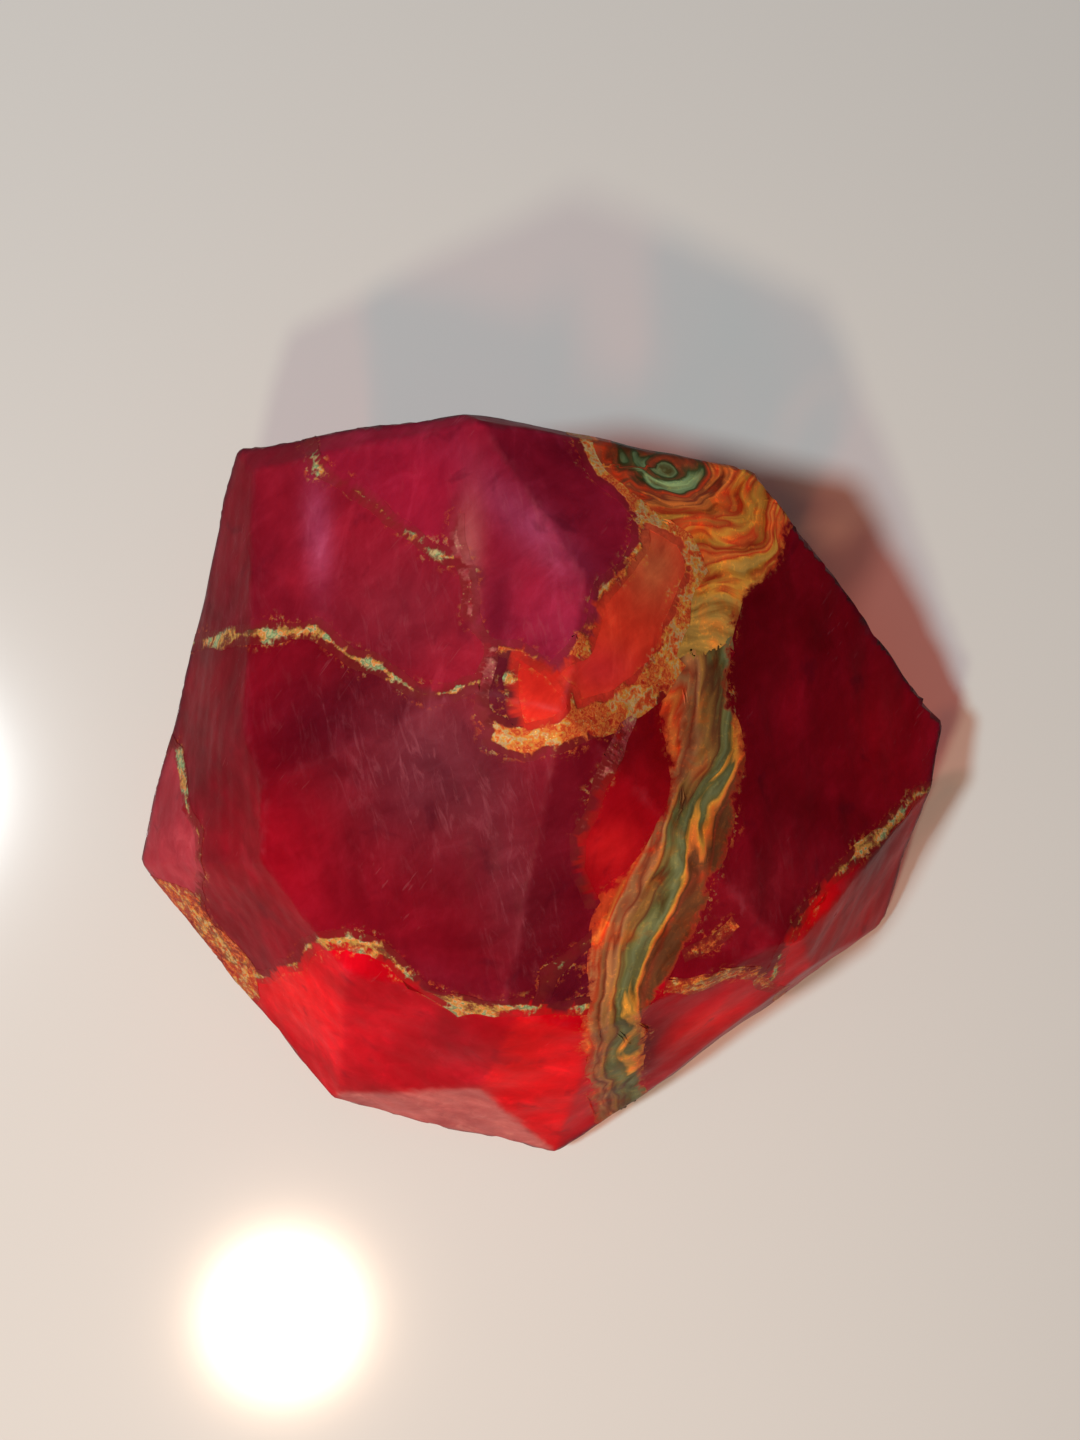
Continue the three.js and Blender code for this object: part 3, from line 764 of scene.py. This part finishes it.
def mica_material(name, clear, stops, core, dust=0.0):
    """A vein: packed mica grains that thin out raggedly towards the soap on both sides."""
    n = Nodes(name)
    soap = SoapPattern(n)
    colour = mica_colour(n, stops)
    ragged = n.maths("MULTIPLY_ADD", n.noise(n.place, 620, 5, 0.65, 0.3), 1.0, -0.5)
    swell = n.maths("MULTIPLY_ADD", n.noise(n.place, 170, 2, 0.5), 1.4, -0.7)
    reach = n.maths("ADD", n.attribute("rim"), n.maths("ADD", ragged, swell))
    share = n.between(reach, core, core + 0.22)
    sprinkled = n.between(n.noise(n.place, 1100, 4, 0.7), 0.44, 0.58)
    share = n.maths("MULTIPLY", share, n.maths("MULTIPLY_ADD", sprinkled, dust, 1 - dust))
    stained = n.mix(n.between(reach, core - 0.5, core + 0.05, 0, 0.45), soap.colour,
                    (0.16, 0.02, 0.012))
    colour = n.mix(share, stained, colour)
    seeds = n.node("ShaderNodeTexVoronoi", {"Vector": n.place, "Scale": 2600}).outputs["Distance"]
    glint = n.maths("MULTIPLY", n.between(seeds, 0.12, 0.26, 1, 0), share)
    colour = n.mix(n.maths("MULTIPLY", glint, 0.45), colour, (0.75, 0.5, 0.2))
    wax = n.noise(n.place, 900, 4, 0.6)
    relief = n.bump(n.maths("ADD", wax, n.maths("MULTIPLY", share, 0.8)), 0.00014, 0.6)
    shader = n.node("ShaderNodeBsdfPrincipled", {
        "Base Color": colour, "Roughness": n.maths("MULTIPLY_ADD", wax, 0.25, 0.27),
        "Metallic": n.maths("MULTIPLY", glint, 0.4), "Normal": relief, "IOR": 1.12,
        "Specular IOR Level": 0.35})
    return n.finish(shader.outputs[0], clear)


# Colours by share of a width in millimetres: across the band from its west edge, and out from
# the lobe's middle
BAND_WIDTH = 8.5
BAND = [(0.02, EMBER), (0.09, TANGERINE), (0.16, EMBER), (0.24, TAN), (0.31, RUST), (0.39, TAN),
        (0.46, OCHRE), (0.52, UMBER), (0.58, OLIVE), (0.65, SAGE), (0.71, OLIVE), (0.76, AMBER),
        (0.80, TANGERINE), (0.84, UMBER), (0.90, RUST), (0.97, UMBER)]
LOBE_WIDTH = 15.5
LOBE = [(0.02, MOSS), (0.10, OLIVE), (0.17, MINT), (0.22, MOSS), (0.28, RUST), (0.34, EMBER),
        (0.40, RUST), (0.46, TANGERINE), (0.52, EMBER), (0.58, AMBER), (0.64, EMBER),
        (0.70, TANGERINE), (0.76, EMBER), (0.82, TANGERINE), (0.88, EMBER), (0.94, AMBER),
        (1.0, GOLD)]


def marble_material(name, clear, width, start, bending, stops):
    """A layer of the band or the lobe: soft wavy laminations, with grains of mica."""
    n = Nodes(name)
    soap = SoapPattern(n)
    along, across = n.attribute("along"), n.attribute("across")
    swirl = n.noise(n.place, 80, 2, 0.45, output="Color")
    bends = n.maths("SUBTRACT", n.noise(n.place, 75, 3, 0.55, 0.4), 0.5)
    across = n.maths("MULTIPLY_ADD", bends, bending, across)
    flow = n.node("ShaderNodeCombineXYZ", {"X": n.maths("MULTIPLY", across, 0.4),
                                           "Y": n.maths("MULTIPLY", along, 0.05)}).outputs[0]
    flow = n.node("ShaderNodeVectorMath", {0: swirl, 1: (2.6, 0.9, 1.6), 2: flow},
                  operation="MULTIPLY_ADD").outputs[0]
    sheets = n.noise(flow, 1, 2, 0.5, 0.3)
    fine = n.noise(flow, 2.6, 3, 0.5)
    where = n.maths("MULTIPLY_ADD", across, 1 / width, start)
    where = n.maths("MULTIPLY_ADD", n.maths("SUBTRACT", sheets, 0.5), 0.75, where)
    where = n.maths("MULTIPLY_ADD", n.maths("SUBTRACT", fine, 0.5), 0.22, where)
    colour = n.ramp(where, *stops)
    colour = n.mix(1.0, colour, n.ramp(fine, (0.32, (0.62, 0.5, 0.45)), (0.5, (0.95, 0.95, 0.95)),
                                       (0.68, (1.45, 1.3, 1.15))), "MULTIPLY")
    blotches = n.between(n.noise(n.place, 300, 4, 0.6, 0.6), 0.5, 0.68, 0, 0.7)
    colour = n.mix(blotches, colour, n.mix(1.0, colour, (1.6, 0.85, 0.6), "MULTIPLY"))
    ragged = n.maths("MULTIPLY_ADD", n.noise(n.place, 420, 5, 0.65, 0.3), 3.2, -1.6)
    share = n.between(n.maths("ADD", n.attribute("rim"), ragged), 0.0, 0.9)
    glow = n.mix(0.55, soap.colour, EMBER)
    colour = n.mix(share, n.mix(n.between(share, 0.0, 0.35), soap.colour, glow), colour)
    grains = n.between(n.noise(n.place, 1700, 3, 0.7), 0.54, 0.66, 0, 0.4)
    colour = n.mix(grains, colour, n.mix(1.0, colour, (1.9, 1.6, 1.1), "MULTIPLY"))
    wax = n.noise(n.place, 600, 4, 0.6)
    relief = n.bump(n.maths("ADD", sheets, n.maths("MULTIPLY", fine, 0.3)), 0.0003, 0.3)
    relief = n.bump(wax, 0.00012, 0.5, relief)
    shader = n.node("ShaderNodeBsdfPrincipled", {
        "Base Color": colour, "Roughness": n.maths("MULTIPLY_ADD", wax, 0.25, 0.27),
        "Normal": relief, "IOR": 1.12, "Specular IOR Level": 0.35})
    return n.finish(shader.outputs[0], clear)


# Tints of the light that falls through onto the table
RED_THROUGH = (0.69, 0.36, 0.31)
MICA_THROUGH = (0.6, 0.35, 0.25)
MATERIALS = {
    "crimson_soap": soap_material("crimson_soap", RED_THROUGH, 0.34),
    "scarlet_soap": soap_material("scarlet_soap", RED_THROUGH, 0.32),
    "dark_red_soap": soap_material("dark_red_soap", RED_THROUGH, 0.33),
    "flame_soap": soap_material("flame_soap", RED_THROUGH, 0.34),
    "cool_mica": mica_material("cool_mica", MICA_THROUGH, COOL_MICA, 0.47),
    "thin_mica": mica_material("thin_mica", MICA_THROUGH, COOL_MICA, 0.5),
    "warm_mica": mica_material("warm_mica", MICA_THROUGH, WARM_MICA, 0.45, 0.25),
    "pink_mica": mica_material("pink_mica", MICA_THROUGH, PINK_MICA, 0.5, 0.4),
    "mica_dust": mica_material("mica_dust", MICA_THROUGH, WARM_MICA, 0.25, 0.75),
    "band": marble_material("band", MICA_THROUGH, BAND_WIDTH, 0.5, 3.5, BAND),
    "lobe": marble_material("lobe", MICA_THROUGH, LOBE_WIDTH, 0.0, 11, LOBE),
}
MICA_LOOKS = {
    "thin_mica": ("vein_lower_left", "vein_upper_left", "vein_east_edge"),
    "warm_mica": ("mica_apex", "vein_lobe", "vein_flame", "vein_lens"),
    "pink_mica": ("vein_heart", "vein_ridge"),
    "mica_dust": ("mica_west", "vein_south_east", "vein_spur"),
}


def material_for(name):
    """The look of a piece. Chunks keep their slots' own; veins and layers have several."""
    kind = kind_of(name)
    if kind == "layer":
        return MATERIALS["lobe" if name.startswith("lobe") else "band"]
    if kind == "vein":
        return MATERIALS[next((k for k, names in MICA_LOOKS.items() if name in names), "cool_mica")]
    return MATERIALS[slots[name]]


# ---------------------------------------------------------------- assembly
def kind_of(name):
    if name.startswith("chunk"):
        return "chunk"
    return "vein" if name.startswith(("vein", "mica")) else "layer"


def set_attribute(mesh, name, kind, values):
    layer = mesh.attributes.new(name, kind, "POINT")
    key = "color" if kind == "FLOAT_COLOR" else "value"
    layer.data.foreach_set(key, np.ascontiguousarray(values, np.float32).ravel())


def distance_to(tree, points):
    return np.array([tree.find(p)[2] for p in points])


def tree_of(points):
    """A search tree over the points."""
    tree = kdtree.KDTree(len(points))
    for i, point in enumerate(points):
        tree.insert(point, i)
    tree.balance()
    return tree


built = {name: build_mesh(name, kind_of(name)) for name in sorted(shapes)}


def seam_tree(names):
    """A search tree over the seams of the named pieces."""
    return tree_of(np.concatenate([built[name][0][built[name][5]] for name in names]))


# The soap's colour beside each vein and layer comes from the nearest chunk surface
chunks = [name for name in built if kind_of(name) == "chunk"]
chunk_seams = seam_tree(chunks)
chunk_points = []
chunk_looks = []
for name in chunks:
    on_top = np.unique(np.array(built[name][1]))[::3]
    chunk_points.append(built[name][0][on_top])
    chunk_looks.append(np.column_stack(soap_colour(name, chunk_points[-1])))
soap_tree = tree_of(np.concatenate(chunk_points))
chunk_looks = np.concatenate(chunk_looks)

for name, (points, surface, walls, normals, edge, seam) in built.items():
    kind = kind_of(name)
    mesh = bpy.data.meshes.new(name + "_surface")
    mesh.from_pydata((points * MM).tolist(), [], surface + walls)
    if kind == "chunk":
        colour, brushed = soap_colour(name, points)
        rim = distance_to(seam_tree([name]), points)
    else:
        nearest = chunk_looks[[soap_tree.find(p)[1] for p in points]]
        colour, brushed = nearest[:, :3], nearest[:, 3]
        rim = distance_to(chunk_seams, points)
    along, across = (around_and_out if name.startswith("lobe") else along_and_across)(points)
    set_attribute(mesh, "soap", "FLOAT_COLOR", np.column_stack([colour, np.ones(len(points))]))
    set_attribute(mesh, "brushed", "FLOAT", brushed)
    set_attribute(mesh, "rim", "FLOAT", rim)
    set_attribute(mesh, "edge", "FLOAT", edge)
    set_attribute(mesh, "outline", "FLOAT", outline_shade_share(points))
    set_attribute(mesh, "along", "FLOAT", along)
    set_attribute(mesh, "across", "FLOAT", across)
    mesh.polygons.foreach_set("use_smooth", np.ones(len(mesh.polygons), bool))
    loop_normals = []
    for polygon in mesh.polygons:
        if polygon.index < len(surface):
            loop_normals += [tuple(normals[i]) for i in polygon.vertices]
        else:
            loop_normals += [tuple(polygon.normal)] * polygon.loop_total
    mesh.normals_split_custom_set(loop_normals)
    mesh.materials.append(material_for(name))
    piece = bpy.data.objects.new(name + "_look", mesh)
    bpy.context.scene.collection.objects.link(piece)
    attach(piece, "root")
    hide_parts(name)


# ---------------------------------------------------------------- table, lights and camera
def table_material():
    n = Nodes("table")
    cloud = n.noise(n.place, 3, 2, 0.5)
    colour = n.mix(cloud, (0.66, 0.625, 0.59), (0.70, 0.67, 0.64))
    shader = n.node("ShaderNodeBsdfPrincipled", {
        "Base Color": colour, "Roughness": n.maths("MULTIPLY_ADD", cloud, 0.03, 0.1),
        "Specular IOR Level": 0.45})
    output = n.node("ShaderNodeOutputMaterial")
    n.feed(output.inputs["Surface"], shader.outputs[0])
    return n.material


bpy.ops.mesh.primitive_plane_add(size=4, location=(0, 0, 0))
table = bpy.context.object
table.name = "table"
table.data.materials.append(table_material())


def lamp(name, place, size, power, colour):
    """A round soft lamp that faces the middle of the block."""
    light = bpy.data.lights.new(name, "AREA")
    light.shape = "DISK"
    light.size = size * MM
    light.energy = power
    light.color = colour
    made = bpy.data.objects.new(name, light)
    bpy.context.scene.collection.objects.link(made)
    made.location = Vector(place) * MM
    towards = Vector((0, 0, height / 2)) - Vector(place)
    made.rotation_euler = towards.to_track_quat("-Z", "Y").to_euler()


lamp("near_lamp", (-59, -129, 235), 30, 0.33, (1.0, 0.70, 0.48))
lamp("side_lamp", (-300, -20, 640), 90, 3.3, (0.92, 1.0, 1.04))

world = bpy.data.worlds.new("room")
world.use_nodes = True
world.node_tree.nodes["Background"].inputs["Color"].default_value = (0.93, 0.96, 1.0, 1)
world.node_tree.nodes["Background"].inputs["Strength"].default_value = 0.08
bpy.context.scene.world = world
bpy.context.scene.view_settings.view_transform = "Standard"

camera_data = bpy.data.cameras.new("camera")
camera_data.lens = 50
camera_data.clip_start = 0.01
camera = bpy.data.objects.new("camera", camera_data)
camera.location = Vector((0.5, 9.4, 230)) * MM
bpy.context.scene.collection.objects.link(camera)
bpy.context.scene.camera = camera
